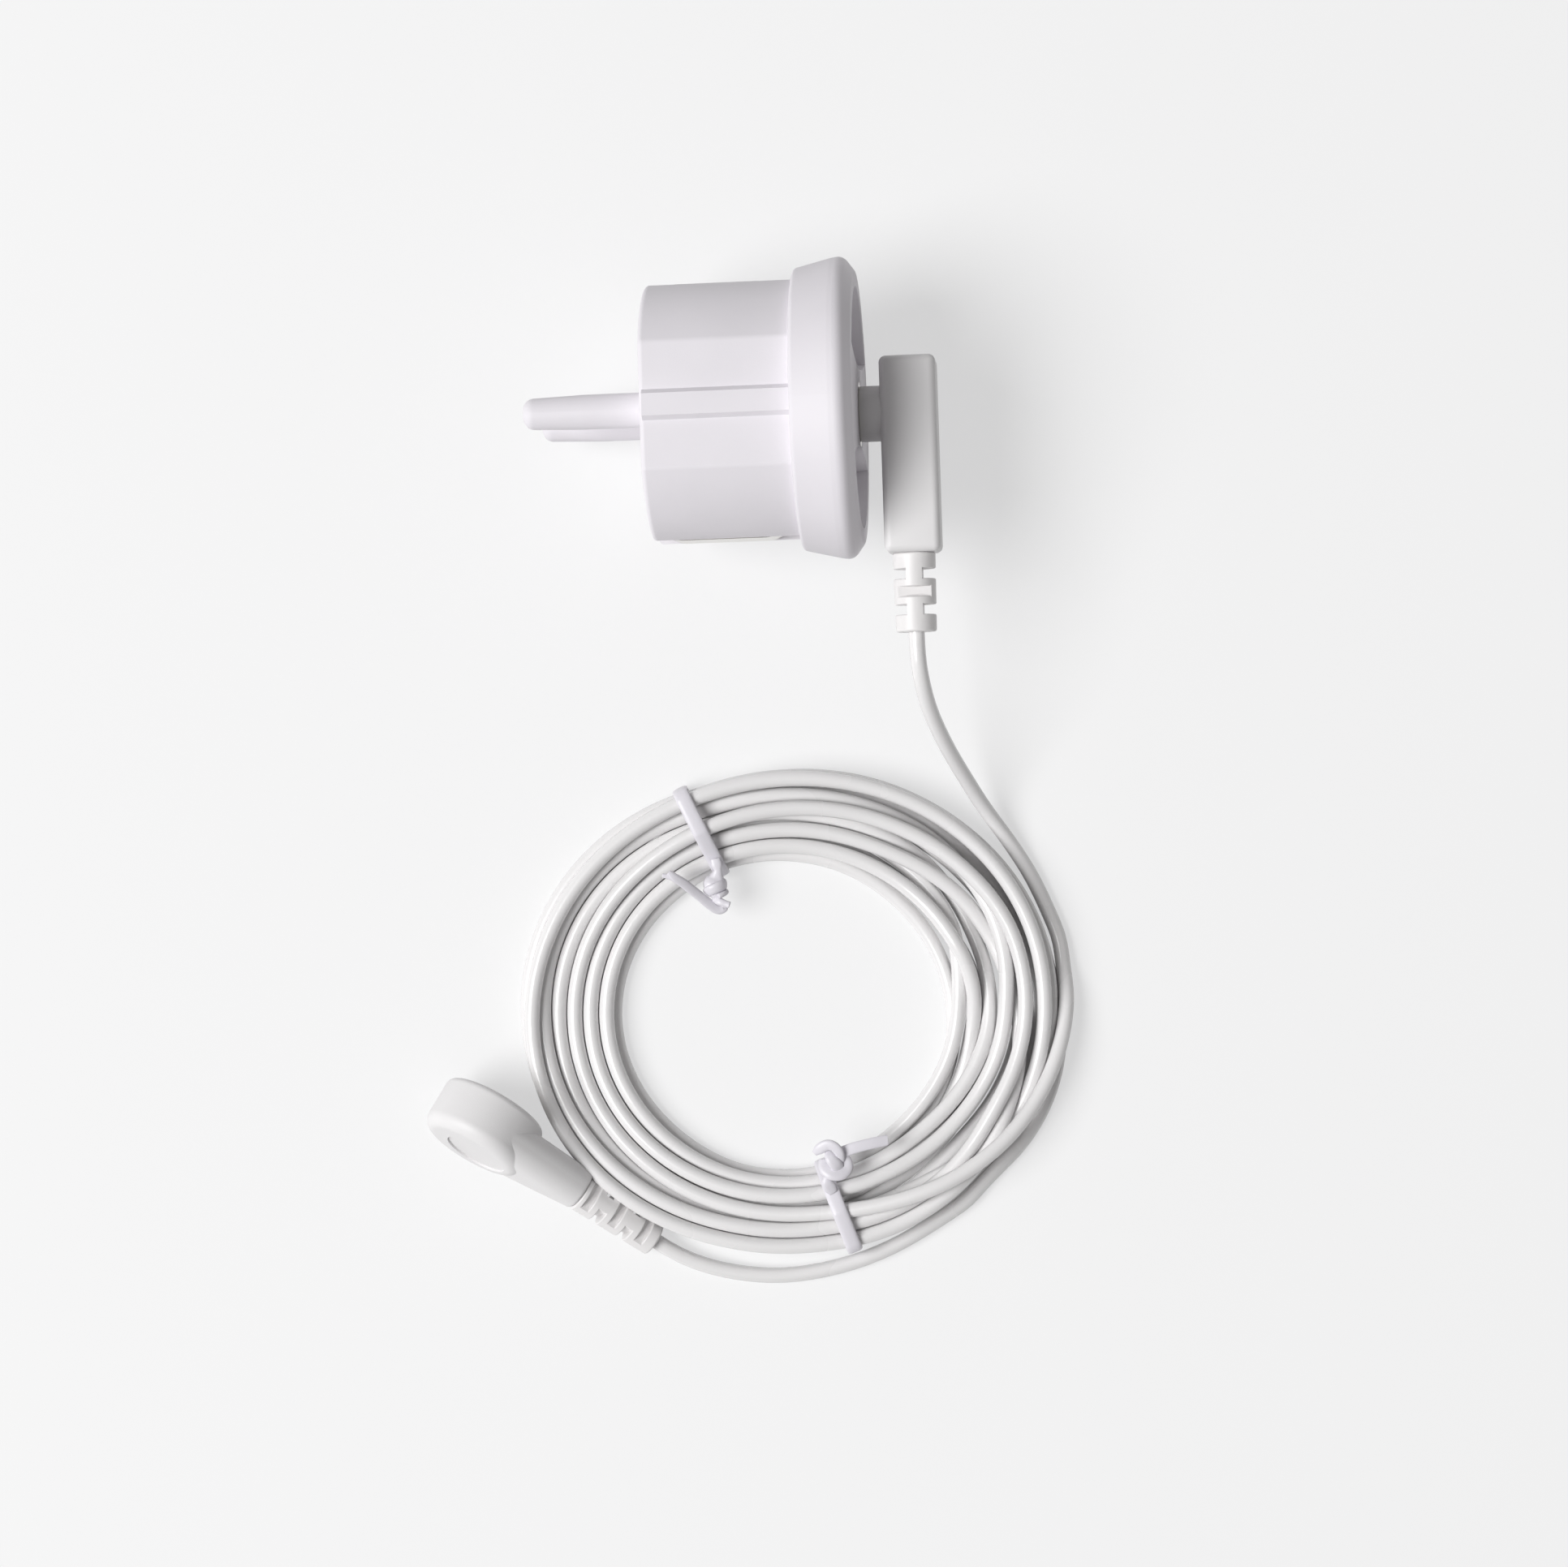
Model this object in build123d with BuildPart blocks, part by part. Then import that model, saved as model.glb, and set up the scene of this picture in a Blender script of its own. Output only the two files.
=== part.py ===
"""Grounding plug adapter: a round side-earth plug with moulded pins, its lead and a snap connector.

The object lies as it does on a table. X runs along the plug from its pins to its lead plug,
Z is up from the table, and the lead leaves towards -Y. All sizes are in millimetres.
"""

import math
import os

from build123d import *

os.makedirs("parts", exist_ok=True)

# Pins and body
pin_spacing = 19.0
pin_length = 17.15
pin_root_r = 2.45
pin_tip_r = 2.15
pin_straight = 8.5
pin_tip_round = 1.6
pin_boss_r = 3.7
pin_boss_height = 3.0
body_r = 18.6
body_length = 21.1
body_rim_round = 0.7
body_corner_round = 1.2
flat_distance = body_r - 2.25
rib_base_width = 4.3
rib_top_width = 3.1
rib_height = 0.8
rib_setback = 0.45
rib_root = 0.3
side_round_width = 2.1
side_round_depth = 1.0
side_round_bulge = 0.75
front_wall = 2.4
side_wall = 2.0
spigot_length = 2.0
spigot_thickness = 1.2
seat_clearance = 0.2
cut_margin = 1.0

# Flange, which is the rim of the rear cover
flange_length = 8.7
band_length = 3.2
cone_angle = math.radians(13.5)
band_angle = math.radians(8.0)
crest_length = 2.3
crest_centre_r = body_r + 1.23
crest_round = 1.6
chamfer_angle = math.radians(54.0)
flange_front_round = 0.7
back_rim_round = 0.6
back_wall = 2.2
pocket_r = body_r - 1.4
pocket_depth = 2.0
bridge_half_width = 5.6
bridge_flare_r = 58.0
pocket_draft = 14.0

# Earth strap
strap_thickness = 0.7
strap_width = 7.4
strap_side_clearance = 0.5
strap_seat_gap = 0.1
strap_hook_bend = 0.8
strap_leg_bend = 4.0
strap_bridge_bend = 0.9
strap_bow = 0.9
strap_rise = 2.2
channel_floor = body_r - 2.1
channel_wall = 1.7
hook_depth = 1.35
hook_length = 1.2
hook_slot_length = 1.8
hook_slot_gap = 0.05

# Jack, its fixings and the centre screw
jack_offset = -0.95
jack_barrel_r = 3.0
jack_head_r = 4.6
jack_head_height = 1.2
jack_bore_r = 2.05
jack_bore_depth = 12.8
thread_clearance = 0.05
screw_r = 1.5
screw_head_r = 2.9
screw_head_height = 1.7
screw_head_round = 0.6
screw_recess = 0.2
screw_end_gap = 0.3
screw_clearance = 0.2
screw_head_clearance = 0.3
cross_length = 2.6
cross_width = 0.7
cross_depth = 1.0
boss_r = 4.0
boss_length = 11.4
washer_r = 4.4
washer_thickness = 0.6
nut_across_flats = 8.0
nut_thickness = 2.4

# Right-angle lead plug
collar_r = 4.0
collar_length = 3.0
barrel_r = 4.03
barrel_head = 6.9
barrel_tail = 20.95
barrel_end_round = 1.0
barrel_bore_r = 2.7
barrel_end_wall = 3.9
lead_pin_r = 1.95
lead_pin_reach = 11.8
lead_pin_core_r = 1.3
lead_pin_tip = 1.5
lead_pin_chamfer = 0.7
lead_pin_neck = 0.6
lead_pin_root = 1.2
lead_pin_seat = 0.2
pin_fit = 0.1
leaf_thickness = 0.2
leaf_slot = 0.9
leaf_waist_r = 1.62
leaf_gap = 0.1
leaf_grip = 0.05
leaf_end_band = 1.2
resistor_r = 1.15
resistor_length = 6.3
resistor_wire_r = 0.3
resistor_gap = 2.6
resistor_end_round = 0.4
wire_stub = 0.4
crimp_r = 1.1
crimp_length = 4.0

# Strain reliefs
relief_pitch = 2.54
relief_slot = 1.43
relief_web = 2.25
relief_root_r = 3.05
relief_tip_r = 2.9
relief_length = 11.27
relief_pocket_floor = 1.8
snap_pocket_floor = 1.45
relief_first_slot = 3.02
relief_slots = 3
relief_plug_length = 2.5
snap_relief_pitch = 2.35
snap_relief_slot = 1.2
snap_relief_root_r = 2.75
snap_relief_tip_r = 2.5
snap_relief_length = 13.3
snap_relief_first_slot = 1.5
snap_relief_slots = 5
snap_plug_length = 2.0
relief_edge_round = 0.35
ring_edge_round = 0.2
relief_plug_fit = 0.1

# Snap connector
head_r = 8.0
head_thickness = 7.9
head_back_round = 1.9
head_front_round = 1.0
head_roll = math.radians(20.0)
handle_length = 17.3
handle_root_half_width = 7.6
handle_root_half_depth = 3.07
handle_root_place = 2.4
handle_side_round = 2.75
handle_end_r = 3.05
handle_end_round = 0.6
handle_root_offset = 0.6
handle_end_offset = -0.15
snap_relief_offset = 0.2
badge_r = 4.75
badge_shift = 1.0
badge_depth = 0.3
snap_pocket_depth = 3.3
snap_bore_r = 4.9
snap_outer_r = 6.5
snap_height = 3.1
snap_floor = 0.5
snap_groove_r = 5.35
snap_groove_width = 0.7
snap_groove_height = 1.2
snap_wire_r = 0.28
snap_wire_play = 0.02
snap_wire_arc = 330.0
snap_seat_gap = 0.1
terminal_r = 5.0
terminal_thickness = 0.4
terminal_tail_width = 2.0
terminal_tail_length = 9.6
terminal_play = 0.1
wire_bore_r = 1.35
wire_bore_overlap = 1.0

# Cord, coil and ties
cord_r = 1.15
lead_exit_run = 3.0
tail_exit_run = 4.0
coil_height = 7.4
coil_edge_round = 3.0
coil_bottom_round = 1.2
coil_outer_half = (39.6, 34.8)
coil_inner_half = (24.1, 23.0)
coil_centre = (6.9, -86.5)
coil_inner_centre = (4.4, -87.4)
groove_clearance = 0.15
tie_width = 1.8
tie_thickness = 0.7
tie_gap = 0.15
tie_headroom = 1.0
tie_outer_round = 3.0
tie_inner_round = 2.3
notch_round = 2.6
notch_margin = 3.0
tie_twist_r = 0.95
tie_tail_r = 0.7

# Resting attitude: the flange's rim stands on the table and the pins dip a little
pitch = math.radians(4.6)
along = Vector(math.cos(pitch), 0, math.sin(pitch))
upward = Vector(-math.sin(pitch), 0, math.cos(pitch))
across = Vector(0, 1, 0)

# Places along the plug's axis, measured from its front face
flange_back = body_length + flange_length
crest_place = flange_back - crest_length
band_place = flange_back - band_length
cover_inner = flange_back - pocket_depth - back_wall
barrel_place = flange_back + collar_length + barrel_r
boss_end = front_wall + boss_length

# Height and place of the front face's centre, which put the rim on the table and the origin midway
rest_height = crest_centre_r * math.cos(pitch) - crest_place * math.sin(pitch) + crest_round
pin_reach = (pin_length * along + (pin_spacing / 2) * upward * -1).X
block_reach = barrel_place * along.X + barrel_r
front_place = (pin_reach - block_reach) / 2
front_centre = Vector(front_place, 0, rest_height)


def plug_plane(depth, side=0.0, height=0.0):
    """A plane square to the plug's axis. Its x is the row's Y and its y points up."""
    origin = front_centre + depth * along + side * across + height * upward
    return Plane(origin=origin, x_dir=across, z_dir=along)


def profile_plane(side=0.0, height=0.0):
    """A plane through an axis of the plug, for turned profiles. Its x runs along the axis."""
    origin = front_centre + side * across + height * upward
    return Plane(origin=origin, x_dir=along, z_dir=across * -1)


def plug_axis(side=0.0, height=0.0):
    return Axis(front_centre + side * across + height * upward, along)


def finish(part, name):
    part.part.label = name
    export_step(part.part, f"parts/{name}.step")


strap_plane = Plane(origin=front_centre, x_dir=along, z_dir=upward)
side_arc_depth = (1 - side_round_bulge) * side_round_depth
side_arc_r = body_r - (1 - side_round_bulge) * side_round_width
strap_inner_half = strap_width / 2 + strap_side_clearance
cover_cavity_r = body_r - 0.8
cavity_r = body_r - side_wall - seat_clearance
flat_cavity = flat_distance - side_wall
channel_inner = channel_floor - channel_wall
cover_flat = flat_distance - seat_clearance

# Front housing, one moulding with its two dummy pins
with BuildPart() as front_housing:
    with BuildSketch(plug_plane(0)):
        Circle(body_r)
        Rectangle(2 * body_r, 2 * flat_distance, mode=Mode.INTERSECT)
    extrude(amount=body_length)
    fillet(edges().filter_by(Axis(front_centre, along)), radius=body_corner_round)
    front_edges = edges().group_by(Axis(front_centre, along))[0]
    fillet(front_edges, radius=body_rim_round)
    for side in (-1, 1):
        rib_plane = Plane(origin=front_centre + rib_setback * along, x_dir=across * side, z_dir=along)
        with BuildSketch(rib_plane):
            with BuildLine():
                Polyline(
                    (-rib_base_width / 2, flat_distance - rib_root),
                    (rib_base_width / 2, flat_distance - rib_root),
                    (rib_base_width / 2, flat_distance),
                    (rib_top_width / 2, flat_distance + rib_height),
                    (-rib_top_width / 2, flat_distance + rib_height),
                    (-rib_base_width / 2, flat_distance),
                    close=True,
                )
            make_face()
        extrude(amount=body_length - rib_setback)
    for side in (-1, 1):
        with BuildSketch(strap_plane):
            with BuildLine():
                ThreePointArc(
                    (0, side * (body_r - side_round_width)),
                    (side_arc_depth, side * side_arc_r),
                    (side_round_depth, side * body_r),
                )
                Polyline(
                    (side_round_depth, side * body_r),
                    (side_round_depth, side * (body_r + cut_margin)),
                    (-cut_margin, side * (body_r + cut_margin)),
                    (-cut_margin, side * (body_r - side_round_width)),
                    (0, side * (body_r - side_round_width)),
                )
            make_face()
        extrude(amount=body_r, both=True, mode=Mode.SUBTRACT)
    with BuildSketch(plug_plane(body_length)):
        Circle(cover_cavity_r - seat_clearance)
        Rectangle(2 * body_r, 2 * (cover_flat - seat_clearance), mode=Mode.INTERSECT)
    extrude(amount=spigot_length)
    with BuildSketch(plug_plane(front_wall)):
        Circle(cavity_r)
        Rectangle(2 * body_r, 2 * flat_cavity, mode=Mode.INTERSECT)
        for side in (-1, 1):
            with Locations((side * (channel_inner + body_r) / 2, 0)):
                wall_height = 2 * (strap_inner_half + channel_wall)
                Rectangle(body_r - channel_inner, wall_height, mode=Mode.SUBTRACT)
    extrude(amount=body_length + spigot_length - front_wall, mode=Mode.SUBTRACT)
    for side in (-1, 1):
        with BuildSketch(plug_plane(0)):
            with Locations((side * (channel_floor + body_r) / 2, 0)):
                Rectangle(body_r - channel_floor, 2 * strap_inner_half)
        extrude(amount=body_length + spigot_length, mode=Mode.SUBTRACT)
        with BuildSketch(plug_plane(hook_depth - strap_thickness / 2 - hook_slot_gap)):
            with Locations((side * (channel_floor - hook_slot_length / 2), 0)):
                Rectangle(hook_slot_length, strap_width + 2 * strap_seat_gap)
        extrude(amount=strap_thickness + 2 * hook_slot_gap, mode=Mode.SUBTRACT)
    with BuildSketch(plug_plane(front_wall)):
        with Locations((jack_offset, 0)):
            Circle(boss_r)
    extrude(amount=boss_length)
    with BuildSketch(plug_plane(front_wall)):
        with Locations((0, pin_spacing / 2), (0, -pin_spacing / 2)):
            Circle(pin_boss_r)
    extrude(amount=pin_boss_height)
    with BuildSketch(plug_plane(0)):
        with Locations((jack_offset, 0)):
            Circle(screw_r + screw_clearance)
    extrude(amount=boss_end, mode=Mode.SUBTRACT)
    with BuildSketch(plug_plane(0)):
        with Locations((jack_offset, 0)):
            Circle(screw_head_r + screw_head_clearance)
    extrude(amount=screw_recess + screw_head_height, mode=Mode.SUBTRACT)
    for height in (-pin_spacing / 2, pin_spacing / 2):
        with BuildSketch(profile_plane(height=height)):
            with BuildLine():
                Polyline(
                    (front_wall, 0),
                    (front_wall, pin_root_r),
                    (-pin_straight, pin_root_r),
                    (-pin_length, pin_tip_r),
                    (-pin_length, 0),
                    close=True,
                )
            make_face()
            fillet(vertices().sort_by(Axis.X)[0:2].sort_by(Axis.Y)[-1], radius=pin_tip_round)
        revolve(axis=plug_axis(height=height))

finish(front_housing, "front_housing")

# Rear cover, turned outline with the finger recesses each side of its bridge
front_tangent = (
    crest_place - crest_round * math.sin(band_angle),
    crest_centre_r + crest_round * math.cos(band_angle),
)
back_tangent = (
    crest_place + crest_round * math.sin(chamfer_angle),
    crest_centre_r + crest_round * math.cos(chamfer_angle),
)
band_r = front_tangent[1] - (front_tangent[0] - band_place) * math.tan(band_angle)
flange_front_r = band_r - (band_place - body_length) * math.tan(cone_angle)
back_rim_r = back_tangent[1] - (flange_back - back_tangent[0]) * math.tan(chamfer_angle)

with BuildPart() as rear_cover:
    with BuildSketch(profile_plane()):
        with BuildLine():
            Polyline(
                (flange_back, 0),
                (body_length, 0),
                (body_length, flange_front_r),
                (band_place, band_r),
                front_tangent,
            )
            ThreePointArc(front_tangent, (crest_place, crest_centre_r + crest_round), back_tangent)
            Polyline(back_tangent, (flange_back, back_rim_r), (flange_back, 0))
        make_face()
    revolve(axis=plug_axis())
    rims = edges().filter_by(GeomType.CIRCLE).group_by(Axis(front_centre, along))
    fillet(rims[0], radius=flange_front_round)
    rims = edges().filter_by(GeomType.CIRCLE).group_by(Axis(front_centre, along))
    fillet(rims[-1], radius=back_rim_round)
    with BuildSketch(plug_plane(body_length)):
        Circle(cover_cavity_r)
        Rectangle(2 * body_r, 2 * cover_flat, mode=Mode.INTERSECT)
    extrude(amount=cover_inner - body_length, mode=Mode.SUBTRACT)
    for side in (-1, 1):
        with BuildSketch(plug_plane(flange_back)):
            Circle(pocket_r)
            with Locations((side * (bridge_half_width + bridge_flare_r), 0)):
                Circle(bridge_flare_r, mode=Mode.INTERSECT)
        extrude(amount=-pocket_depth, taper=pocket_draft, mode=Mode.SUBTRACT)
    with BuildSketch(plug_plane(cover_inner)):
        with Locations((jack_offset, 0)):
            Circle(jack_barrel_r + thread_clearance)
    extrude(amount=flange_back - cover_inner, mode=Mode.SUBTRACT)
    with BuildSketch(plug_plane(flange_back)):
        with Locations((jack_offset, 0)):
            Circle(jack_head_r + thread_clearance)
    extrude(amount=-jack_head_height, mode=Mode.SUBTRACT)

finish(rear_cover, "rear_cover")

# Earth strap, one bent strip from contact to contact behind the body
leg_centre = channel_floor + strap_seat_gap + strap_thickness / 2
bow_centre = leg_centre + strap_bow
bridge_centre = cover_inner - strap_thickness / 2
half_route = [
    (hook_depth, channel_floor - hook_length),
    (hook_depth, leg_centre),
    (hook_depth + strap_rise, bow_centre),
    (body_length - 2 * strap_rise, bow_centre),
    (body_length - strap_rise, leg_centre),
    (bridge_centre, leg_centre),
]
strap_route = half_route + [(u, -v) for u, v in reversed(half_route)]
strap_bends = [strap_hook_bend, strap_leg_bend, strap_leg_bend, strap_leg_bend, strap_bridge_bend]

with BuildPart() as earth_strap:
    with BuildSketch(strap_plane):
        with BuildLine() as strap_line:
            FilletPolyline(*strap_route, radius=strap_bends + strap_bends[::-1])
        trace(line_width=strap_thickness)
    extrude(amount=strap_width / 2, both=True)
    with BuildSketch(plug_plane(cover_inner - 2 * strap_thickness)):
        with Locations((jack_offset, 0)):
            Circle(jack_barrel_r + thread_clearance)
    extrude(amount=2 * strap_thickness, mode=Mode.SUBTRACT)

finish(earth_strap, "earth_strap")

# Jack bush, turned brass, with its bore open to the back and a thread for the centre screw
with BuildPart() as jack_socket:
    with BuildSketch(plug_plane(boss_end)):
        with Locations((jack_offset, 0)):
            Circle(jack_barrel_r)
    extrude(amount=flange_back - boss_end)
    with BuildSketch(plug_plane(flange_back - jack_head_height)):
        with Locations((jack_offset, 0)):
            Circle(jack_head_r)
    extrude(amount=jack_head_height)
    with BuildSketch(plug_plane(flange_back)):
        with Locations((jack_offset, 0)):
            Circle(jack_bore_r)
    extrude(amount=-jack_bore_depth, mode=Mode.SUBTRACT)
    with BuildSketch(plug_plane(boss_end)):
        with Locations((jack_offset, 0)):
            Circle(screw_r + thread_clearance)
    extrude(amount=flange_back - jack_bore_depth - boss_end, mode=Mode.SUBTRACT)

finish(jack_socket, "jack_socket")

washer_place = cover_inner - strap_thickness - washer_thickness
with BuildPart() as jack_washer:
    with BuildSketch(plug_plane(washer_place)):
        with Locations((jack_offset, 0)):
            Circle(washer_r)
            Circle(jack_barrel_r + thread_clearance, mode=Mode.SUBTRACT)
    extrude(amount=washer_thickness)

finish(jack_washer, "jack_washer")

with BuildPart() as jack_nut:
    with BuildSketch(plug_plane(washer_place - nut_thickness)):
        with Locations((jack_offset, 0)):
            RegularPolygon(nut_across_flats / 2, 6, major_radius=False)
            Circle(jack_barrel_r + thread_clearance, mode=Mode.SUBTRACT)
    extrude(amount=nut_thickness)

finish(jack_nut, "jack_nut")

# Centre screw, which draws the housing, the bush and the cover together
screw_end = flange_back - jack_bore_depth - screw_end_gap
with BuildPart() as centre_screw:
    with BuildSketch(plug_plane(screw_recess)):
        with Locations((jack_offset, 0)):
            Circle(screw_head_r)
    extrude(amount=screw_head_height)
    head_edge = edges().filter_by(GeomType.CIRCLE).group_by(Axis(front_centre, along))[0]
    fillet(head_edge, radius=screw_head_round)
    with BuildSketch(plug_plane(screw_recess)):
        with Locations((jack_offset, 0)):
            Rectangle(cross_length, cross_width)
            Rectangle(cross_width, cross_length)
    extrude(amount=cross_depth, mode=Mode.SUBTRACT)
    with BuildSketch(plug_plane(screw_recess + screw_head_height)):
        with Locations((jack_offset, 0)):
            Circle(screw_r)
    extrude(amount=screw_end - screw_recess - screw_head_height)

finish(centre_screw, "centre_screw")

# Lead plug: a round barrel across the plug's axis, with its collar on the jack
def barrel_plane(place):
    """A plane square to the barrel, at a distance past the plug's axis towards the lead."""
    origin = front_centre + barrel_place * along + place * across * -1
    return Plane(origin=origin, x_dir=along, z_dir=across * -1)


with BuildPart() as plug_barrel:
    with BuildSketch(barrel_plane(-barrel_head)):
        Circle(barrel_r)
    extrude(amount=barrel_head + barrel_tail)
    ends = edges().filter_by(GeomType.CIRCLE)
    fillet(ends, radius=barrel_end_round)
    with BuildSketch(plug_plane(flange_back)):
        with Locations((jack_offset, 0)):
            Circle(collar_r)
    extrude(amount=collar_length + barrel_r)
    with BuildSketch(barrel_plane(-barrel_head + barrel_end_wall)):
        Circle(barrel_bore_r)
    extrude(amount=barrel_head + barrel_tail - barrel_end_wall, mode=Mode.SUBTRACT)
    with BuildSketch(plug_plane(flange_back)):
        with Locations((jack_offset, 0)):
            Circle(lead_pin_r + pin_fit)
    extrude(amount=barrel_place - flange_back + lead_pin_root + lead_pin_seat, mode=Mode.SUBTRACT)

finish(plug_barrel, "plug_barrel")

pin_start = flange_back - lead_pin_reach
pin_neck = flange_back - lead_pin_neck
with BuildPart() as lead_pin:
    with BuildSketch(profile_plane(side=jack_offset)):
        with BuildLine():
            Polyline(
                (pin_start, 0),
                (pin_start, lead_pin_r - lead_pin_chamfer),
                (pin_start + lead_pin_chamfer, lead_pin_r),
                (pin_start + lead_pin_tip, lead_pin_r),
                (pin_start + lead_pin_tip, lead_pin_core_r),
                (pin_neck, lead_pin_core_r),
                (pin_neck, lead_pin_r),
                (barrel_place + lead_pin_root, lead_pin_r),
                (barrel_place + lead_pin_root, 0),
                close=True,
            )
        make_face()
    revolve(axis=plug_axis(side=jack_offset))
    with BuildSketch(barrel_plane(-jack_offset - lead_pin_r)):
        Circle(resistor_wire_r + thread_clearance)
    extrude(amount=2 * lead_pin_r, mode=Mode.SUBTRACT)

finish(lead_pin, "lead_pin")

# Leaf spring that grips the jack's bore, a rolled strip with four slots
leaf_start = pin_start + lead_pin_tip + leaf_gap
leaf_end = pin_neck - leaf_gap
leaf_middle = (leaf_start + leaf_end) / 2
leaf_crest = jack_bore_r - leaf_grip
with BuildPart() as pin_spring:
    with BuildSketch(profile_plane(side=jack_offset)):
        with BuildLine():
            ThreePointArc((leaf_start, leaf_waist_r), (leaf_middle, leaf_crest), (leaf_end, leaf_waist_r))
            Line((leaf_end, leaf_waist_r), (leaf_end, leaf_waist_r - leaf_thickness))
            ThreePointArc(
                (leaf_end, leaf_waist_r - leaf_thickness),
                (leaf_middle, leaf_crest - leaf_thickness),
                (leaf_start, leaf_waist_r - leaf_thickness),
            )
            Line((leaf_start, leaf_waist_r - leaf_thickness), (leaf_start, leaf_waist_r))
        make_face()
    revolve(axis=plug_axis(side=jack_offset))
    with BuildSketch(plug_plane(leaf_start + leaf_end_band)):
        with Locations((jack_offset, 0)):
            Rectangle(leaf_slot, 2 * jack_barrel_r)
            Rectangle(2 * jack_barrel_r, leaf_slot)
    extrude(amount=leaf_end - leaf_start - 2 * leaf_end_band, mode=Mode.SUBTRACT)

finish(pin_spring, "pin_spring")

# Resistor and crimp in the barrel's bore
resistor_start = -jack_offset + lead_pin_r + resistor_gap
wire_start = -jack_offset - lead_pin_r - wire_stub
crimp_start = barrel_tail - relief_plug_length - crimp_length
with BuildPart() as series_resistor:
    with BuildSketch(barrel_plane(resistor_start)):
        Circle(resistor_r)
    extrude(amount=resistor_length)
    body_ends = edges().filter_by(GeomType.CIRCLE)
    fillet(body_ends, radius=resistor_end_round)
    with BuildSketch(barrel_plane(wire_start)):
        Circle(resistor_wire_r)
    extrude(amount=crimp_start + crimp_length / 2 - wire_start)

finish(series_resistor, "series_resistor")

with BuildPart() as wire_crimp:
    with BuildSketch(barrel_plane(crimp_start)):
        Circle(crimp_r)
        Circle(resistor_wire_r + thread_clearance, mode=Mode.SUBTRACT)
    extrude(amount=crimp_length)

finish(wire_crimp, "wire_crimp")


def slotted_relief(start, direction, flat_up, length, root_r, tip_r, first_slot, pitch_step, slot_width,
                   count, pocket_floor, plug_r, plug_length, first_is_top):
    """A round tapered relief with slots cut by turns from its sides and from above and below."""
    base = Plane(origin=start, x_dir=direction.cross(flat_up) * -1, z_dir=direction)
    relief_inner_r = max(plug_r, tip_r - ring_edge_round)
    with BuildPart() as relief:
        with BuildSketch(base):
            Circle(root_r)
        with BuildSketch(base.offset(length)):
            Circle(tip_r)
        loft()
        rims = edges().filter_by(GeomType.CIRCLE)
        fillet(rims, radius=relief_edge_round)
        for index in range(count):
            place = first_slot + index * pitch_step
            from_top = (index % 2 == 0) == first_is_top
            inner = pocket_floor if from_top else relief_web / 2
            reach = root_r + cut_margin
            for side in (-1, 1):
                centre = side * (inner + reach) / 2
                with BuildSketch(base.offset(place)):
                    with Locations((0, centre) if from_top else (centre, 0)):
                        if from_top:
                            Rectangle(2 * reach, reach - inner)
                        else:
                            Rectangle(reach - inner, 2 * reach)
                extrude(amount=slot_width, mode=Mode.SUBTRACT)
        rings = edges().filter_by(GeomType.CIRCLE).filter_by(lambda edge: edge.radius > relief_inner_r)
        fillet(rings, radius=ring_edge_round)
        with BuildSketch(base):
            Circle(plug_r)
        extrude(amount=-plug_length)
    return relief


barrel_end = front_centre + barrel_place * along + barrel_tail * across * -1
plug_relief = slotted_relief(
    barrel_end, across * -1, upward, relief_length, relief_root_r, relief_tip_r,
    relief_first_slot - relief_slot / 2, relief_pitch, relief_slot, relief_slots, relief_pocket_floor,
    barrel_bore_r - relief_plug_fit, relief_plug_length, False,
)
finish(plug_relief, "plug_relief")

# Snap connector: its head stands on its rim and the relief's end lies on the table
head_place = Vector(-39.77, -101.93, 0)
relief_end_place = Vector(-15.0, -120.0, 0)
head_height = (
    (head_thickness / 2 - head_front_round) * math.sin(head_roll)
    + (head_r - head_front_round) * math.cos(head_roll)
    + head_front_round
)
relief_end_height = snap_relief_tip_r + snap_seat_gap
connector_length = handle_length + snap_relief_length
heading = (relief_end_place - head_place).normalized()
descent = math.asin((head_height - relief_end_height) / connector_length)
connector_dir = heading * math.cos(descent) + Vector(0, 0, -math.sin(descent))
level_side = Vector(-heading.Y, heading.X, 0)
connector_up = connector_dir.cross(level_side)
face_roll = math.asin(math.sin(head_roll) / math.cos(descent))
face_dir = level_side * math.cos(face_roll) + connector_up * -math.sin(face_roll)
head_centre = Vector(head_place.X, head_place.Y, head_height)


def face_plane(depth):
    """A plane square to the snap's axis, at a depth from the head's middle towards its open face."""
    return Plane(origin=head_centre + depth * face_dir, x_dir=connector_dir, z_dir=face_dir)


def handle_plane(place, shift=0.0):
    origin = head_centre + place * connector_dir + shift * face_dir * -1
    return Plane(origin=origin, x_dir=face_dir, z_dir=connector_dir)


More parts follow.
